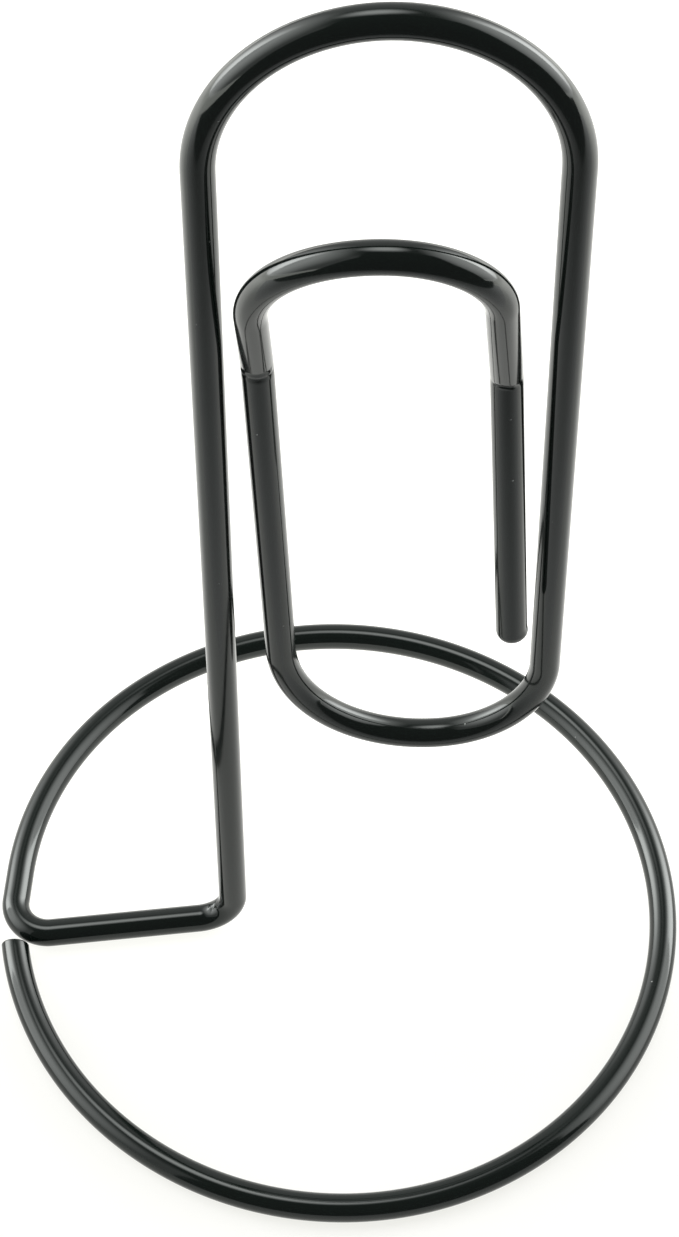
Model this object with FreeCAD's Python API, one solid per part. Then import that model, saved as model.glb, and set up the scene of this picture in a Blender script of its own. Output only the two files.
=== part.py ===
import FreeCAD, Part
import math
import os

# A memo clip holder: one length of coated steel wire, bent cold.
# The wire makes a ring that stands on the desk, turns in along a spoke to near the ring's
# middle, rises as a leg and winds into the two loops of a paper clip. The inner loop is
# creased forward near its top, so that a card slides in behind it.
# Millimetres. The origin is the ring's centre on the desk, +Z is up, +X runs across the clip
# and -Y is the side that the card is read from. Radii and lengths are to the wire's axis.

wire_diameter = 3.1
ring_end_rounding = 0.25
clip_end_rounding = 0.5

# Ring, which closes in a little before its corner, and spoke
ring_radius = 37.3
ring_end_gap = 0.15
closing_radius = 36.0
closing_angle = 40.6
corner_straight = 3.7
corner_bend_radius = 3.8
spoke_bearing = 186.72
foot_from_centre = 12.2
foot_bend_radius = 4.0

# Outer loop of the clip
lean_back = 4.09
leg_tilt = 1.37
leg_length = 114.8
top_bend_radius = 16.15
top_bend_angle = 179.3
right_leg_length = 68.2

# Bottom bend, which opens out as it comes round to the inner loop
bottom_bend_start_radius = 11.76
bottom_bend_start_angle = 84.0
bottom_bend_end_radius = 14.9
bottom_bend_end_angle = 94.55

# Inner loop, with its creased lip
inner_leg_length = 41.56
crease_radius = 3.0
crease_angle = 18.87
lip_rise = 9.26
lip_twist = 3.95
lip_bend_start_radius = 12.45
lip_bend_start_angle = 91.98
lip_bend_end_radius = 9.42
lip_bend_end_angle = 85.22
lip_fall = 13.26
free_crease_angle = 22.66
free_leg_length = 34.28

wire_radius = wire_diameter / 2
UP = FreeCAD.Vector(0, 0, 1)


def turned(vector, axis, angle):
    """The vector turned about the axis by an angle in degrees."""
    return FreeCAD.Rotation(axis, angle).multVec(vector)


def on_circle(radius, bearing):
    """A point of the wire's axis in the ring's plane, by its distance and bearing from the centre."""
    angle = math.radians(bearing)
    return FreeCAD.Vector(radius * math.cos(angle), radius * math.sin(angle), wire_radius)


class BentWire:
    """The wire's axis, laid down as a bending bench makes it: straight runs and bends in turn.

    heading is the way the wire runs, and face is the side of the bend's plane that is seen.
    """

    def __init__(self, start, heading, face):
        self.start = start
        self.point = start
        self.heading = heading
        self.face = face
        self.edges = []

    def run(self, length):
        end = self.point + self.heading * length
        self.edges.append(Part.LineSegment(self.point, end).toShape())
        self.point = end

    def bend(self, radius, angle, axis):
        """Turn the heading about an axis square to it."""
        centre = self.point + axis.cross(self.heading) * radius
        arm = self.point - centre
        middle = centre + turned(arm, axis, angle / 2)
        end = centre + turned(arm, axis, angle)
        self.edges.append(Part.Arc(self.point, middle, end).toShape())
        self.point = end
        self.heading = turned(self.heading, axis, angle)
        self.face = turned(self.face, axis, angle)

    def bend_in_plane(self, radius, angle):
        """Bend clockwise, as the face shows it."""
        self.bend(radius, angle, self.face * -1)

    def crease_forward(self, radius, angle):
        """Bend out of the plane, towards the side that is seen."""
        self.bend(radius, angle, self.heading.cross(self.face))

    def twist(self, angle):
        """Turn the plane of the next bends about the heading."""
        self.face = turned(self.face, self.heading, angle)


def clip_directions():
    """The clip's plane leans back from upright: its face, and the heading of its leg."""
    face = turned(FreeCAD.Vector(0, -1, 0), FreeCAD.Vector(1, 0, 0), -lean_back)
    upward = turned(UP, FreeCAD.Vector(1, 0, 0), -lean_back)
    return face, turned(upward, face, leg_tilt)


def ring_closing():
    """How the ring turns in to its spoke, by bearings and distances from the ring's centre.

    The closing bend is laid down on a trial bearing, and turned to where the spoke needs it.
    """
    trial = BentWire(on_circle(ring_radius, 0), FreeCAD.Vector(0, 1, 0), UP)
    trial.bend(closing_radius, closing_angle, UP)
    trial.run(corner_straight)
    corner = trial.point + UP.cross(trial.heading) * corner_bend_radius
    corner_distance = math.hypot(corner.x, corner.y)
    offset = math.degrees(math.asin(corner_bend_radius / corner_distance))
    trial_spoke_bearing = math.degrees(math.atan2(corner.y, corner.x)) + offset
    closing_bearing = spoke_bearing - trial_spoke_bearing
    corner_turn = trial_spoke_bearing + 90 - closing_angle
    return closing_bearing, corner_turn, corner_distance, spoke_bearing - offset


def ring_end_bearing(corner_distance, corner_bearing):
    """The ring's cut end stops a small gap short of the outside of its own corner."""
    inner_edge = ring_radius - wire_radius
    reach = corner_bend_radius + wire_radius + ring_end_gap
    cosine = (inner_edge ** 2 + corner_distance ** 2 - reach ** 2) / (2 * inner_edge * corner_distance)
    return corner_bearing + math.degrees(math.acos(cosine))


def wire_axis():
    """Every run and bend, from the ring's cut end to the clip's free end."""
    face, leg_heading = clip_directions()
    closing_bearing, corner_turn, corner_distance, corner_bearing = ring_closing()
    start_bearing = ring_end_bearing(corner_distance, corner_bearing)
    ring_turn = 360 + closing_bearing - start_bearing

    start = on_circle(ring_radius, start_bearing)
    start_heading = turned(FreeCAD.Vector(0, 1, 0), UP, start_bearing)
    wire = BentWire(start, start_heading, UP)
    wire.bend(ring_radius, ring_turn / 2, UP)
    wire.bend(ring_radius, ring_turn / 2, UP)
    wire.bend(closing_radius, closing_angle, UP)
    wire.run(corner_straight)
    wire.bend(corner_bend_radius, corner_turn, UP)

    spoke_start = math.sqrt(corner_distance ** 2 - corner_bend_radius ** 2)
    foot_turn = math.degrees(wire.heading.getAngle(leg_heading))
    foot_setback = foot_bend_radius * math.tan(math.radians(foot_turn / 2))
    wire.run(spoke_start - foot_from_centre - foot_setback)
    foot_axis = wire.heading.cross(leg_heading).normalize()
    wire.bend(foot_bend_radius, foot_turn, foot_axis)
    wire.face = face

    wire.run(leg_length - foot_setback)
    wire.bend_in_plane(top_bend_radius, top_bend_angle)
    wire.run(right_leg_length)
    wire.bend_in_plane(bottom_bend_start_radius, bottom_bend_start_angle)
    wire.bend_in_plane(bottom_bend_end_radius, bottom_bend_end_angle)

    wire.run(inner_leg_length)
    wire.crease_forward(crease_radius, crease_angle)
    wire.run(lip_rise)
    wire.twist(-lip_twist)
    wire.bend_in_plane(lip_bend_start_radius, lip_bend_start_angle)
    wire.bend_in_plane(lip_bend_end_radius, lip_bend_end_angle)
    wire.run(lip_fall)
    wire.crease_forward(crease_radius, free_crease_angle)
    wire.run(free_leg_length)
    return wire


def rounded_end(solid, place, rounding):
    """The edge of the cut end nearest to a place, rounded over."""
    cut_ends = [face for face in solid.Faces if isinstance(face.Surface, Part.Plane)]
    cut_end = min(cut_ends, key=lambda face: face.CenterOfMass.distanceToPoint(place))
    return solid.makeFillet(rounding, cut_end.Edges)


def bent_wire():
    """The round wire along its axis, with the edges of both cut ends rounded over."""
    wire = wire_axis()
    axis = Part.Wire(wire.edges)
    first = wire.edges[0]
    section = Part.Circle(first.Vertexes[0].Point, first.tangentAt(first.FirstParameter), wire_radius)
    solid = axis.makePipe(Part.Face(Part.Wire(section.toShape())))
    solid = rounded_end(solid, wire.start, ring_end_rounding)
    solid = rounded_end(solid, wire.point, clip_end_rounding)
    section_area = math.pi * wire_radius ** 2
    print("wire length %.1f mm, volume %.1f mm3, section times length %.1f mm3"
          % (axis.Length, solid.Volume, section_area * axis.Length))
    return solid


os.makedirs("parts", exist_ok=True)
bent_wire().exportStep("parts/bent_wire.step")
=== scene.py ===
import math
import bmesh
import bpy
from mathutils import Matrix, Vector


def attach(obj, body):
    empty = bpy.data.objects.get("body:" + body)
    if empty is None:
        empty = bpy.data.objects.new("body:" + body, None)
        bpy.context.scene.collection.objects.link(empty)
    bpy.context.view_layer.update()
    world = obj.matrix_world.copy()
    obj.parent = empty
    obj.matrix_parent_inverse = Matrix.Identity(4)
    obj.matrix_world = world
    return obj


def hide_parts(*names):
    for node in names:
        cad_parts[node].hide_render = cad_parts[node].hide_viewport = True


# A memo clip holder bent from one black coated wire: the studio, the camera and the smooth wire.

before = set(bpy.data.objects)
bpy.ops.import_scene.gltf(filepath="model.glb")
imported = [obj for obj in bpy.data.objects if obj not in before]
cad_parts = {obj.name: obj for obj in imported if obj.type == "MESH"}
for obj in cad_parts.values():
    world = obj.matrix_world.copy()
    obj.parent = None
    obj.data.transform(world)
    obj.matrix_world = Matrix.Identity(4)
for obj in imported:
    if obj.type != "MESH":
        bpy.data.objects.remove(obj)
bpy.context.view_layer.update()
mm = 0.001
up = Vector((0, 0, 1))
print("frame loaded")


def turned(vector, axis, degrees):
    return Matrix.Rotation(math.radians(degrees), 3, axis) @ vector


class Value:
    # a socket of a node tree; maths on it adds Math nodes
    def __init__(self, shading, socket):
        self.shading = shading
        self.socket = socket

    def maths(self, operation, first, second):
        return self.shading.node("ShaderNodeMath", {"operation": operation}, {0: first, 1: second})

    def __add__(self, other):
        return self.maths("ADD", self, other)

    def __radd__(self, other):
        return self.maths("ADD", other, self)

    def __sub__(self, other):
        return self.maths("SUBTRACT", self, other)

    def __rsub__(self, other):
        return self.maths("SUBTRACT", other, self)

    def __mul__(self, other):
        return self.maths("MULTIPLY", self, other)

    def __rmul__(self, other):
        return self.maths("MULTIPLY", other, self)

    def larger(self, other):
        return self.maths("MAXIMUM", self, other)

    def absolute(self):
        return self.maths("ABSOLUTE", self, 0.0)

    def rise(self, band):
        # 0 below the band and 1 above it, with a smooth slope between
        return self.shading.node("ShaderNodeMapRange", {"interpolation_type": "SMOOTHSTEP"}, {
            "Value": self, "From Min": band[0], "From Max": band[1]})


class Shading:
    # the node tree of a material or the world, and the one way its nodes are made
    def __init__(self, owner):
        owner.use_nodes = True
        self.tree = owner.node_tree
        self.tree.nodes.clear()

    def node(self, kind, settings=None, inputs=None, output=0):
        made = self.tree.nodes.new(kind)
        for name, setting in (settings or {}).items():
            setattr(made, name, setting)
        for name, given in (inputs or {}).items():
            if isinstance(given, Value):
                self.tree.links.new(given.socket, made.inputs[name])
            else:
                made.inputs[name].default_value = given
        return Value(self, made.outputs[output]) if len(made.outputs) else made

    def mixShader(self, amount, first, second):
        return self.node("ShaderNodeMixShader", {}, {0: amount, 1: first, 2: second})

    def seen(self):
        # 1 for the rays that show a surface as it looks, 0 for those that only light others
        rays = [self.node("ShaderNodeLightPath", output=name)
                for name in ("Is Camera Ray", "Is Glossy Ray", "Is Transmission Ray")]
        return rays[0].larger(rays[1]).larger(rays[2])


# The camera, fitted to the ring as a true circle lying flat

camera = {
    "place": (-8.99, -166.12, 300.6),
    "pitch": 55.4,
    "yaw": 2.595,
    "roll": 2.615,
    "focalPixels": 2959.4,
    "imageHeight": 1237,
    "sensor": 36.0,
    "nearest": 0.01,
}


def makeCamera():
    data = bpy.data.cameras.new("camera")
    data.sensor_width = camera["sensor"]
    data.lens = camera["sensor"] * camera["focalPixels"] / camera["imageHeight"]
    data.clip_start = camera["nearest"]
    obj = bpy.data.objects.new("camera", data)
    heading = Matrix.Rotation(math.radians(-camera["yaw"]), 4, "Z")
    tilt = Matrix.Rotation(math.radians(90 - camera["pitch"]), 4, "X")
    roll = Matrix.Rotation(math.radians(camera["roll"]), 4, "Z")
    obj.matrix_world = Matrix.Translation(Vector(camera["place"]) * mm) @ heading @ tilt @ roll
    bpy.context.scene.collection.objects.link(obj)
    bpy.context.scene.camera = obj


makeCamera()
print("camera placed")

# The wire, in millimetres and degrees: the same bends as the solid, with finer facets

wire = {
    "diameter": 3.1,
    "sides": 64,
    "ringEndRounding": 0.25,
    "clipEndRounding": 1.25,
    "clipEndExtra": 0.5,
    "clipEndRun": 1.35,
    "roundingSegments": 12,
    "ringRadius": 37.3,
    "ringEndGap": 0.15,
    "closingRadius": 36.0,
    "closingAngle": 40.6,
    "cornerStraight": 3.7,
    "cornerBendRadius": 3.8,
    "spokeBearing": 186.72,
    "footFromCentre": 12.2,
    "footBendRadius": 4.0,
    "leanBack": 4.09,
    "legTilt": 1.37,
    "legLength": 114.8,
    "topBendRadius": 16.15,
    "topBendAngle": 179.3,
    "rightLegLength": 68.2,
    "bottomBendStartRadius": 11.76,
    "bottomBendStartAngle": 84.0,
    "bottomBendEndRadius": 14.9,
    "bottomBendEndAngle": 94.55,
    "innerLegLength": 41.56,
    "creaseRadius": 3.0,
    "creaseAngle": 18.87,
    "lipRise": 9.26,
    "lipTwist": 3.95,
    "lipBendStartRadius": 12.45,
    "lipBendStartAngle": 91.98,
    "lipBendEndRadius": 9.42,
    "lipBendEndAngle": 85.22,
    "lipFall": 13.26,
    "freeCreaseAngle": 22.66,
    "freeLegLength": 34.28,
    "bendStep": 3.0,
    "creaseStep": 1.0,
    "runStep": 4.0,
    "markStep": 0.08,
    "markRun": 1.2,
    "footStep": 2.0,
    "markReach": 3.5,
    "ringEndSkew": 0.15,
    "skewReach": 0.5,
    "weld": 0.001,
    "slack": 0.01,
}
wireRadius = wire["diameter"] / 2


class Bench:
    # a round wire drawn out and bent; face is the side of the bends' plane that is seen
    def __init__(self, start, heading, face):
        self.point, self.heading, self.face = start, heading, face
        self.bm = bmesh.new()
        aim = heading.to_track_quat("Z", "Y").to_matrix().to_4x4()
        circle = bmesh.ops.create_circle(
            self.bm, segments=wire["sides"], radius=wireRadius, matrix=Matrix.Translation(start) @ aim)
        self.rim = list({edge for vert in circle["verts"] for edge in vert.link_edges})
        self.firstRim = self.rim
        self.spots = {}

    def spot(self, name, face):
        # a place on the wire that the coat's marks are measured from
        self.spots[name] = (self.point.copy(), self.heading.copy(), face.copy())

    def run(self, length, step=wire["runStep"]):
        steps = max(1, round(length / step))
        for _ in range(steps):
            drawn = bmesh.ops.extrude_edge_only(self.bm, edges=self.rim)["geom"]
            verts = [item for item in drawn if isinstance(item, bmesh.types.BMVert)]
            bmesh.ops.translate(self.bm, verts=verts, vec=self.heading * length / steps)
            self.rim = [item for item in drawn if isinstance(item, bmesh.types.BMEdge)]
        self.point = self.point + self.heading * length

    def bend(self, radius, angle, axis, step):
        centre = self.point + axis.cross(self.heading) * radius
        turn = bmesh.ops.spin(
            self.bm, geom=self.rim, cent=centre, axis=axis, angle=math.radians(angle),
            steps=max(2, round(angle / step)), use_merge=False, use_duplicate=False)
        self.rim = [item for item in turn["geom_last"] if isinstance(item, bmesh.types.BMEdge)]
        self.point = centre + turned(self.point - centre, axis, angle)
        self.heading = turned(self.heading, axis, angle)
        self.face = turned(self.face, axis, angle)

    def bendInPlane(self, radius, angle):
        self.bend(radius, angle, -self.face, wire["bendStep"])

    def creaseForward(self, radius, angle):
        self.bend(radius, angle, self.heading.cross(self.face), wire["creaseStep"])

    def creaseWithSpot(self, name, angle):
        # a crease between two finely divided runs, with a spot at its middle
        self.run(wire["markRun"], wire["markStep"])
        self.creaseForward(wire["creaseRadius"], angle / 2)
        self.spot(name, self.face)
        self.creaseForward(wire["creaseRadius"], angle / 2)
        self.run(wire["markRun"], wire["markStep"])

    def twist(self, angle):
        self.face = turned(self.face, self.heading, angle)


def onCircle(radius, bearing):
    angle = math.radians(bearing)
    return Vector((radius * math.cos(angle), radius * math.sin(angle), wireRadius))


def ringClosing():
    # where the tighter closing bend begins, and how far the corner turns onto the spoke
    centreOfClosing = onCircle(wire["ringRadius"] - wire["closingRadius"], 0)
    end = centreOfClosing + turned(Vector((wire["closingRadius"], 0, 0)), up, wire["closingAngle"])
    heading = turned(Vector((0, 1, 0)), up, wire["closingAngle"])
    corner = end + heading * wire["cornerStraight"] + up.cross(heading) * wire["cornerBendRadius"]
    distance = math.hypot(corner.x, corner.y)
    offset = math.degrees(math.asin(wire["cornerBendRadius"] / distance))
    spoke = math.degrees(math.atan2(corner.y, corner.x)) + offset
    return wire["spokeBearing"] - spoke, spoke + 90 - wire["closingAngle"], distance, offset


def layWire():
    closingBearing, cornerTurn, cornerDistance, offset = ringClosing()
    innerEdge = wire["ringRadius"] - wireRadius
    reach = wire["cornerBendRadius"] + wireRadius + wire["ringEndGap"]
    cosine = (innerEdge ** 2 + cornerDistance ** 2 - reach ** 2) / (2 * innerEdge * cornerDistance)
    startBearing = wire["spokeBearing"] - offset + math.degrees(math.acos(cosine))
    face = turned(Vector((0, -1, 0)), Vector((1, 0, 0)), -wire["leanBack"])
    leg = turned(turned(up, Vector((1, 0, 0)), -wire["leanBack"]), face, wire["legTilt"])

    startHeading = turned(Vector((0, 1, 0)), up, startBearing)
    bench = Bench(onCircle(wire["ringRadius"], startBearing), startHeading, up)
    bench.spot("ringEnd", up)
    bench.bend(wire["ringRadius"], 360 + closingBearing - startBearing, up, wire["bendStep"] / 2)
    bench.bend(wire["closingRadius"], wire["closingAngle"], up, wire["bendStep"] / 2)
    bench.run(wire["cornerStraight"])
    bench.bend(wire["cornerBendRadius"], cornerTurn, up, wire["bendStep"])

    footTurn = math.degrees(bench.heading.angle(leg))
    setback = wire["footBendRadius"] * math.tan(math.radians(footTurn / 2))
    spokeStart = math.sqrt(cornerDistance ** 2 - wire["cornerBendRadius"] ** 2)
    bench.run(spokeStart - wire["footFromCentre"] - setback)
    footAxis = bench.heading.cross(leg).normalized()
    bench.bend(wire["footBendRadius"], footTurn / 2, footAxis, wire["footStep"])
    bench.spot("foot", footAxis.cross(bench.heading))
    bench.bend(wire["footBendRadius"], footTurn / 2, footAxis, wire["footStep"])
    bench.face = face

    bench.run(wire["legLength"] - setback)
    bench.bendInPlane(wire["topBendRadius"], wire["topBendAngle"])
    bench.run(wire["rightLegLength"])
    bench.bendInPlane(wire["bottomBendStartRadius"], wire["bottomBendStartAngle"])
    bench.bendInPlane(wire["bottomBendEndRadius"], wire["bottomBendEndAngle"])

    bench.run(wire["innerLegLength"] - wire["markRun"])
    bench.creaseWithSpot("leftCrease", wire["creaseAngle"])
    bench.run(wire["lipRise"] - wire["markRun"])
    bench.twist(-wire["lipTwist"])
    bench.bendInPlane(wire["lipBendStartRadius"], wire["lipBendStartAngle"])
    bench.bendInPlane(wire["lipBendEndRadius"], wire["lipBendEndAngle"])
    bench.run(wire["lipFall"] - wire["markRun"])
    bench.creaseWithSpot("rightCrease", wire["freeCreaseAngle"])
    bench.run(wire["freeLegLength"] - 3 * wire["markRun"])
    bench.run(2 * wire["markRun"] + wire["clipEndExtra"] - wire["clipEndRun"], wire["markStep"] * 2)
    bench.run(wire["clipEndRun"])
    bench.spot("freeEnd", bench.face)
    return bench


# The coat's own shape where the wire was bent sharply or cut, in millimetres and degrees.
# Each groove runs round the wire: it is deepest at "at" along the wire, "drop" lets its ends sag
# and "slant" tips it, and "round" is the bearing of its middle and half its length.

marks = {
    "leftCrease": [
        {"at": 0.22, "before": 0.24, "after": 0.75, "depth": -0.12, "drop": 0.0, "slant": 0.0,
         "round": (-3, 55), "fade": 20},
        {"at": -0.1, "before": 0.7, "after": 0.25, "depth": 0.05, "drop": 0.0, "slant": 0.0,
         "round": (-3, 52), "fade": 18},
    ],
    "rightCrease": [
        {"at": -0.3, "before": 0.5, "after": 0.3, "depth": 0.11, "drop": 1.5, "slant": 0.0,
         "round": (10, 33), "fade": 7},
    ],
    "foot": [
        {"at": 0.27, "before": 0.25, "after": 0.16, "depth": 0.07, "drop": 0.0, "slant": -0.03,
         "round": (-4, 18), "fade": 12},
        {"at": -0.5, "before": 0.3, "after": 0.3, "depth": -0.07, "drop": 0.0, "slant": 0.0,
         "round": (1, 2), "fade": 11},
    ],
    "freeEnd": [
        {"at": -1.0, "before": 1.0, "after": 0.7, "depth": -0.07, "drop": 0.0, "slant": 0.0,
         "round": (-90, 20), "fade": 45},
    ],
}


def smooth(amount):
    amount = min(1.0, max(0.0, amount))
    return amount * amount * (3 - 2 * amount)


def pressMark(verts, spot, mark):
    # draw the surface in, or out where the depth is negative, along one groove
    point, heading, face = spot
    side = heading.cross(face)
    middle, half = mark["round"]
    for vert in verts:
        arm = vert.co - point
        along = arm.dot(heading)
        across = arm - heading * along
        turn = math.degrees(math.atan2(across.dot(side), across.dot(face))) - middle
        turn = (turn + 180) % 360 - 180
        line = mark["at"] + mark["drop"] * (1 - math.cos(math.radians(turn))) + mark["slant"] * turn
        offset = along - line
        nearness = 1 - smooth(offset / mark["after"] if offset > 0 else -offset / mark["before"])
        share = 1 - smooth((abs(turn) - half) / mark["fade"])
        vert.co -= across.normalized() * mark["depth"] * nearness * share


def skewEnd(bm, spot):
    # the ring's end was cut a little askew
    point, heading, face = spot
    side = heading.cross(face)
    for vert in bm.verts:
        arm = vert.co - point
        along = arm.dot(heading)
        across = arm - heading * along
        onEnd = -wire["slack"] < along < wire["skewReach"]
        if onEnd and across.length < wireRadius + wire["slack"]:
            vert.co -= heading * arm.dot(side) * wire["ringEndSkew"]


def closeEnd(bm, rim, rounding):
    # a flat cut, with its edge rounded over
    bmesh.ops.contextual_create(bm, geom=rim)
    bmesh.ops.bevel(bm, geom=rim, offset=rounding, offset_type="OFFSET", affect="EDGES",
                    segments=wire["roundingSegments"], profile=0.5, material=-1)


def makeWire():
    bench = layWire()
    closeEnd(bench.bm, bench.firstRim, wire["ringEndRounding"])
    closeEnd(bench.bm, bench.rim, wire["clipEndRounding"])
    bmesh.ops.remove_doubles(bench.bm, verts=bench.bm.verts, dist=wire["weld"])
    for name, grooves in marks.items():
        spot = bench.spots[name]
        verts = [vert for vert in bench.bm.verts if (vert.co - spot[0]).length < wire["markReach"]]
        for mark in grooves:
            pressMark(verts, spot, mark)
    skewEnd(bench.bm, bench.spots["ringEnd"])
    bmesh.ops.recalc_face_normals(bench.bm, faces=bench.bm.faces)
    bmesh.ops.scale(bench.bm, vec=(mm, mm, mm), verts=bench.bm.verts)
    mesh = bpy.data.meshes.new("smooth_wire")
    bench.bm.to_mesh(mesh)
    bench.bm.free()
    mesh.shade_smooth()
    obj = bpy.data.objects.new("smooth_wire", mesh)
    bpy.context.scene.collection.objects.link(obj)
    return obj


smoothWire = makeWire()
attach(smoothWire, "root")
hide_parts("bent_wire")
print("wire laid,", len(smoothWire.data.polygons), "faces")

# The gloss black coat

coat = {
    "colour": (0.0034, 0.0060, 0.0048, 1),
    "tint": (0.955, 1.0, 0.97, 1),
    # pale rough specks: the coat's tiny pimples, with the light they catch painted as a paler colour
    "glintSpeckColour": (0.16, 0.17, 0.16, 1),
    "glintSpeckScale": 340.0,
    "glintSpeckBand": (0.025, 0.045),
    "glintSpeckRoughness": 0.5,
    "ior": 1.45,
    "roughness": 0.063,
    "cloudRoughness": 0.054,
    "cloudScale": 300.0,
    "cloudDetail": 3.0,
}


def makeCoat():
    material = bpy.data.materials.new("black_coat")
    shading = Shading(material)
    places = shading.node("ShaderNodeTexCoord", output="Object")
    cloud = shading.node("ShaderNodeTexNoise", {}, {
        "Vector": places, "Scale": coat["cloudScale"], "Detail": coat["cloudDetail"]})
    nearest = shading.node("ShaderNodeTexVoronoi", {}, {"Vector": places, "Scale": coat["glintSpeckScale"]})
    # painted glints: scattered specks where the coat turns pale and rough, standing in for light caught
    # by tiny pimples
    glintSpeck = 1.0 - nearest.rise(coat["glintSpeckBand"])
    colour = shading.node("ShaderNodeMix", {"data_type": "RGBA"}, {
        0: glintSpeck, 6: coat["colour"], 7: coat["glintSpeckColour"]}, 2)
    surface = shading.node("ShaderNodeBsdfPrincipled", {}, {
        "Base Color": colour,
        "IOR": coat["ior"],
        "Specular Tint": coat["tint"],
        "Roughness": coat["roughness"] + cloud * coat["cloudRoughness"] + glintSpeck * coat["glintSpeckRoughness"],
    })
    shading.node("ShaderNodeOutputMaterial", {}, {"Surface": surface})
    return material


smoothWire.data.materials.append(makeCoat())

# The studio: a white floor whose glow is painted light, brighter towards the back and the sides and
# dimmer far back, lamps at a plain level, and the cards that the gloss mirrors.
# Bearings are clockwise from +Y, seen from above, and heights are above the floor, in degrees.

studio = {
    "floorHalf": 3.0,
    "floorColour": (0.86, 0.86, 0.9, 1),
    "whiteShare": 0.78,
    "whiteBlue": 0.95,
    "whiteTone": 1.05,
    # painted light on the floor's glow: brighter towards the back and the sides, dimmer far back
    "paintedBackGlow": 0.6,
    "backBand": (-0.02, 0.03),
    "paintedFarDimming": 0.6,
    "farBand": (0.115, 0.26),
    "paintedSideGlow": 2.8,
    "sideBand": (0.02, 0.45),
    "aimHeight": 0.06,
    "lampDistance": 0.55,
    "lamps": {
        "topLamp": {"bearing": -25, "height": 74, "size": 0.45, "power": 1.7},
        "leftLamp": {"bearing": -75, "height": 26, "size": 0.4, "power": 2.2},
        "rightLamp": {"bearing": 60, "height": 26, "size": 0.4, "power": 2.2},
    },
    "skyLight": 0.35,
    "skySeen": 1.05,
    "skyTopSeen": 0.35,
    "skyBand": (0.7, 0.95),
    "cardDistance": 1.2,
    "cardEven": 0.9,
    "cards": {
        "leftCard": {"bearing": -77, "height": 20, "roll": 0, "half": (1.55, 1.4), "tone": 4.7},
        "leftCore": {"bearing": -73, "height": 19, "roll": 0, "half": (0.66, 0.75), "tone": 12.5},
        "rightCard": {"bearing": 73, "height": 24, "roll": 0, "half": (1.45, 1.4), "tone": 4.6},
        "rightCore": {"bearing": 63, "height": 20, "roll": -25, "half": (0.55, 0.85), "tone": 12.5},
        "topCard": {"bearing": -28, "height": 76, "roll": 0, "half": (0.46, 0.46), "tone": 6.2},
    },
    "paperFront": -0.146,
    # a painted reflection of the paper, dimming towards its front and brightening towards the sides
    "paperFade": -0.045,
    "paintedPaperFrontTone": 0.4,
    "paintedPaperSideGlow": 1.4,
    "paperHalf": 0.5,
    "lift": 0.0002,
    "roomTone": 0.16,
    "roomSides": (-0.5, 1.4),
    "roomDepth": 0.6,
    "roomHeight": 0.9,
    "roomTop": (-0.15, 1.4),
}


def towards(bearing, height):
    flat = math.cos(math.radians(height))
    return Vector((math.sin(math.radians(bearing)) * flat, math.cos(math.radians(bearing)) * flat,
                   math.sin(math.radians(height))))


def facing(bearing, height, distance, roll=0):
    # the placing of a panel that looks back at the object
    aim = towards(bearing, height)
    turn = aim.to_track_quat("Z", "Y").to_matrix().to_4x4() @ Matrix.Rotation(math.radians(roll), 4, "Z")
    return Matrix.Translation(aim * distance + up * studio["aimHeight"]) @ turn


def stageMesh(name, bm, material):
    mesh = bpy.data.meshes.new(name)
    bm.to_mesh(mesh)
    bm.free()
    mesh.materials.append(material)
    obj = bpy.data.objects.new(name, mesh)
    bpy.context.scene.collection.objects.link(obj)
    return obj


def mirroredOnly(obj):
    # a card that shows in the gloss and lights nothing
    obj.visible_camera = False
    obj.visible_diffuse = False
    obj.visible_shadow = False


def softCard(name):
    # a soft box's face as the gloss mirrors it: even in the middle, fading towards its rim
    card = studio["cards"][name]
    material = bpy.data.materials.new(name)
    shading = Shading(material)
    places = shading.node("ShaderNodeTexCoord", output="Object")
    spread = shading.node("ShaderNodeMapping", {}, {
        "Vector": places, "Scale": (1 / card["half"][0], 1 / card["half"][1], 1)})
    nearness = shading.node(
        "ShaderNodeTexGradient", {"gradient_type": "SPHERICAL"}, {"Vector": spread}, "Fac")
    face = shading.node("ShaderNodeMapRange", {"interpolation_type": "SMOOTHSTEP"}, {
        "Value": nearness, "From Max": studio["cardEven"]})
    lit = shading.node("ShaderNodeEmission", {}, {"Strength": card["tone"]})
    clear = shading.node("ShaderNodeBsdfTransparent")
    shading.node("ShaderNodeOutputMaterial", {}, {"Surface": shading.mixShader(face, clear, lit)})
    bm = bmesh.new()
    bmesh.ops.create_grid(bm, x_segments=1, y_segments=1, size=1)
    bmesh.ops.scale(bm, vec=(card["half"][0], card["half"][1], 1), verts=bm.verts)
    obj = stageMesh(name, bm, material)
    obj.matrix_world = facing(card["bearing"], card["height"], studio["cardDistance"], card["roll"])
    mirroredOnly(obj)


def darkRoom():
    # the unlit side behind the camera, from the front edge of the white paper up and over
    bm = bmesh.new()
    first, second = [bm.verts.new((x, studio["paperFront"], studio["lift"])) for x in studio["roomSides"]]
    edge = [bm.edges.new((first, second))]
    width = edge[0].calc_length()
    back = -studio["roomDepth"]
    corners = [(back, studio["lift"]), (back, studio["roomHeight"]), studio["roomTop"]]
    for y, z in corners:
        drawn = bmesh.ops.extrude_edge_only(bm, edges=edge)["geom"]
        for vert in drawn:
            if isinstance(vert, bmesh.types.BMVert):
                vert.co.y, vert.co.z = y, z
        edge = [item for item in drawn if isinstance(item, bmesh.types.BMEdge)]
        edge = [item for item in edge if abs(item.verts[0].co.x - item.verts[1].co.x) > width / 2]
    material = bpy.data.materials.new("darkRoom")
    shading = Shading(material)
    surface = shading.node("ShaderNodeEmission", {}, {"Strength": studio["roomTone"]})
    shading.node("ShaderNodeOutputMaterial", {}, {"Surface": surface})
    mirroredOnly(stageMesh("darkRoom", bm, material))


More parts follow.
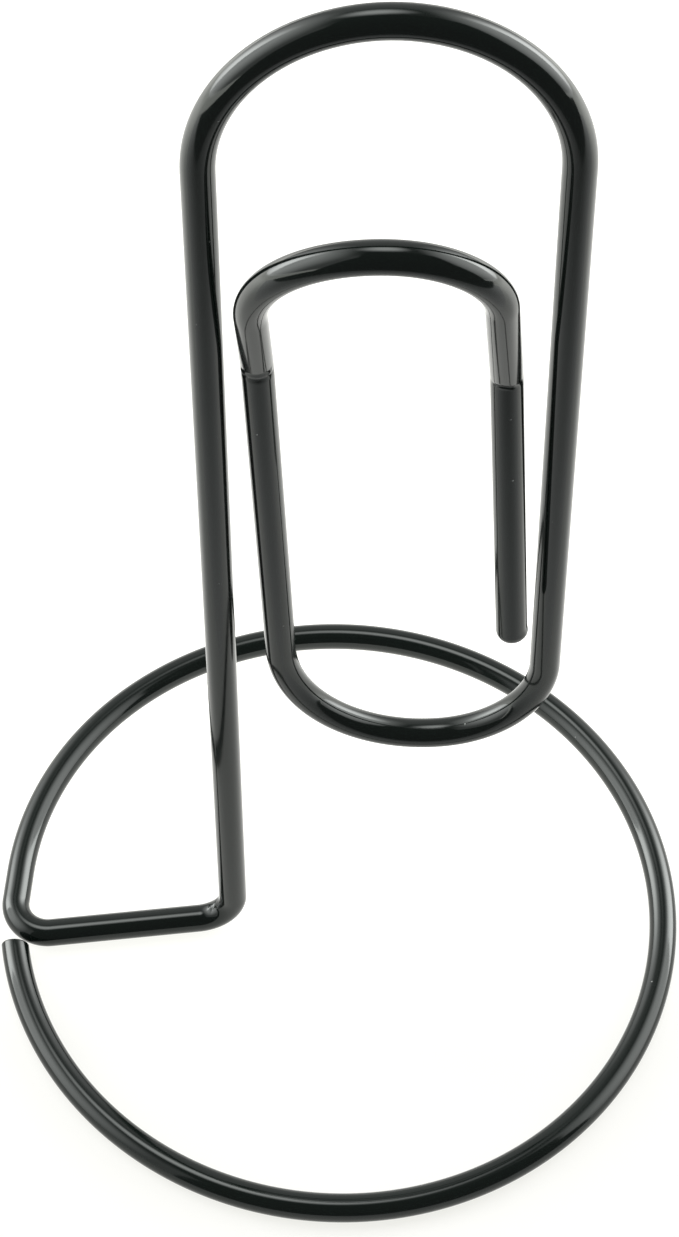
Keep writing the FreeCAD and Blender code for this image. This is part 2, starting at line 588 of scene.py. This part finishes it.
def paperFrontCard():
    # a card seen only in the gloss: a painted reflection of the white paper growing dimmer towards its
    # front edge and brighter towards the sides
    half = (studio["paperFade"] - studio["paperFront"]) / 2
    material = bpy.data.materials.new("paperFront")
    shading = Shading(material)
    places = shading.node("ShaderNodeTexCoord", output="Object")
    fromFront = shading.node("ShaderNodeSeparateXYZ", {}, {"Vector": places}, "Y")
    fromMiddle = shading.node("ShaderNodeSeparateXYZ", {}, {"Vector": places}, "X").absolute()
    fade = shading.node("ShaderNodeMapRange", {}, {
        "Value": fromFront, "From Min": -half, "From Max": half,
        "To Min": studio["paintedPaperFrontTone"], "To Max": 1.0})
    # painted reflection: dimmer towards the front edge, brighter towards the sides
    tone = fade + fromMiddle.rise(studio["sideBand"]) * studio["paintedPaperSideGlow"]
    tint = shading.node("ShaderNodeCombineColor", {}, {"Red": tone, "Green": tone, "Blue": tone})
    surface = shading.node("ShaderNodeEmission", {}, {"Color": tint})
    shading.node("ShaderNodeOutputMaterial", {}, {"Surface": surface})
    bm = bmesh.new()
    bmesh.ops.create_grid(bm, x_segments=1, y_segments=1, size=1)
    bmesh.ops.scale(bm, vec=(studio["paperHalf"], half, 1), verts=bm.verts)
    obj = stageMesh("paperFront", bm, material)
    obj.location = (0, (studio["paperFade"] + studio["paperFront"]) / 2, studio["lift"])
    mirroredOnly(obj)


def makeFloor():
    # seen directly or in the gloss the paper is mostly a white glow, with a pale share of its real
    # shading; the glow is painted light, brighter towards the back and the sides and dimmer far back, and
    # a little less blue than the paper so the real shadows on it come out warm
    material = bpy.data.materials.new("floor")
    shading = Shading(material)
    places = shading.node("ShaderNodeTexCoord", output="Object")
    fromFront = shading.node("ShaderNodeSeparateXYZ", {}, {"Vector": places}, "Y")
    fromMiddle = shading.node("ShaderNodeSeparateXYZ", {}, {"Vector": places}, "X").absolute()
    # painted light: the glow's tone is raised towards the back and the sides and lowered far back
    tone = (fromFront.rise(studio["backBand"]) * studio["paintedBackGlow"] + studio["whiteTone"]
            - fromFront.rise(studio["farBand"]) * studio["paintedFarDimming"]
            + fromMiddle.rise(studio["sideBand"]) * studio["paintedSideGlow"])
    tint = shading.node("ShaderNodeCombineColor", {}, {
        "Red": tone, "Green": tone, "Blue": tone * studio["whiteBlue"]})
    white = shading.node("ShaderNodeEmission", {}, {"Color": tint})
    paper = shading.node("ShaderNodeBsdfPrincipled", {}, {
        "Base Color": studio["floorColour"], "Roughness": 1.0, "Specular IOR Level": 0.0})
    surface = shading.mixShader(shading.seen() * studio["whiteShare"], paper, white)
    shading.node("ShaderNodeOutputMaterial", {}, {"Surface": surface})
    material.cycles.emission_sampling = "NONE"
    bm = bmesh.new()
    bmesh.ops.create_grid(bm, x_segments=1, y_segments=1, size=studio["floorHalf"])
    stageMesh("floor", bm, material)


def makeWorld():
    world = bpy.data.worlds.new("world")
    bpy.context.scene.world = world
    shading = Shading(world)
    directions = shading.node("ShaderNodeTexCoord", output="Generated")
    height = shading.node("ShaderNodeSeparateXYZ", {}, {"Vector": directions}, "Z")
    seen = shading.node("ShaderNodeMapRange", {"interpolation_type": "SMOOTHSTEP"}, {
        "Value": height, "From Min": studio["skyBand"][0], "From Max": studio["skyBand"][1],
        "To Min": studio["skySeen"], "To Max": studio["skyTopSeen"]})
    strength = studio["skyLight"] + shading.seen() * (seen - studio["skyLight"])
    surface = shading.node("ShaderNodeBackground", {}, {"Strength": strength})
    shading.node("ShaderNodeOutputWorld", {}, {"Surface": surface})


def makeLamps():
    for name, lamp in studio["lamps"].items():
        data = bpy.data.lights.new(name, "AREA")
        data.size = lamp["size"]
        data.energy = lamp["power"]
        obj = bpy.data.objects.new(name, data)
        obj.matrix_world = facing(lamp["bearing"], lamp["height"], studio["lampDistance"])
        bpy.context.scene.collection.objects.link(obj)
        obj.visible_glossy = False


makeFloor()
makeWorld()
makeLamps()
darkRoom()
paperFrontCard()
for cardName in studio["cards"]:
    softCard(cardName)
bpy.context.scene.view_settings.view_transform = "Standard"
print("studio lit")
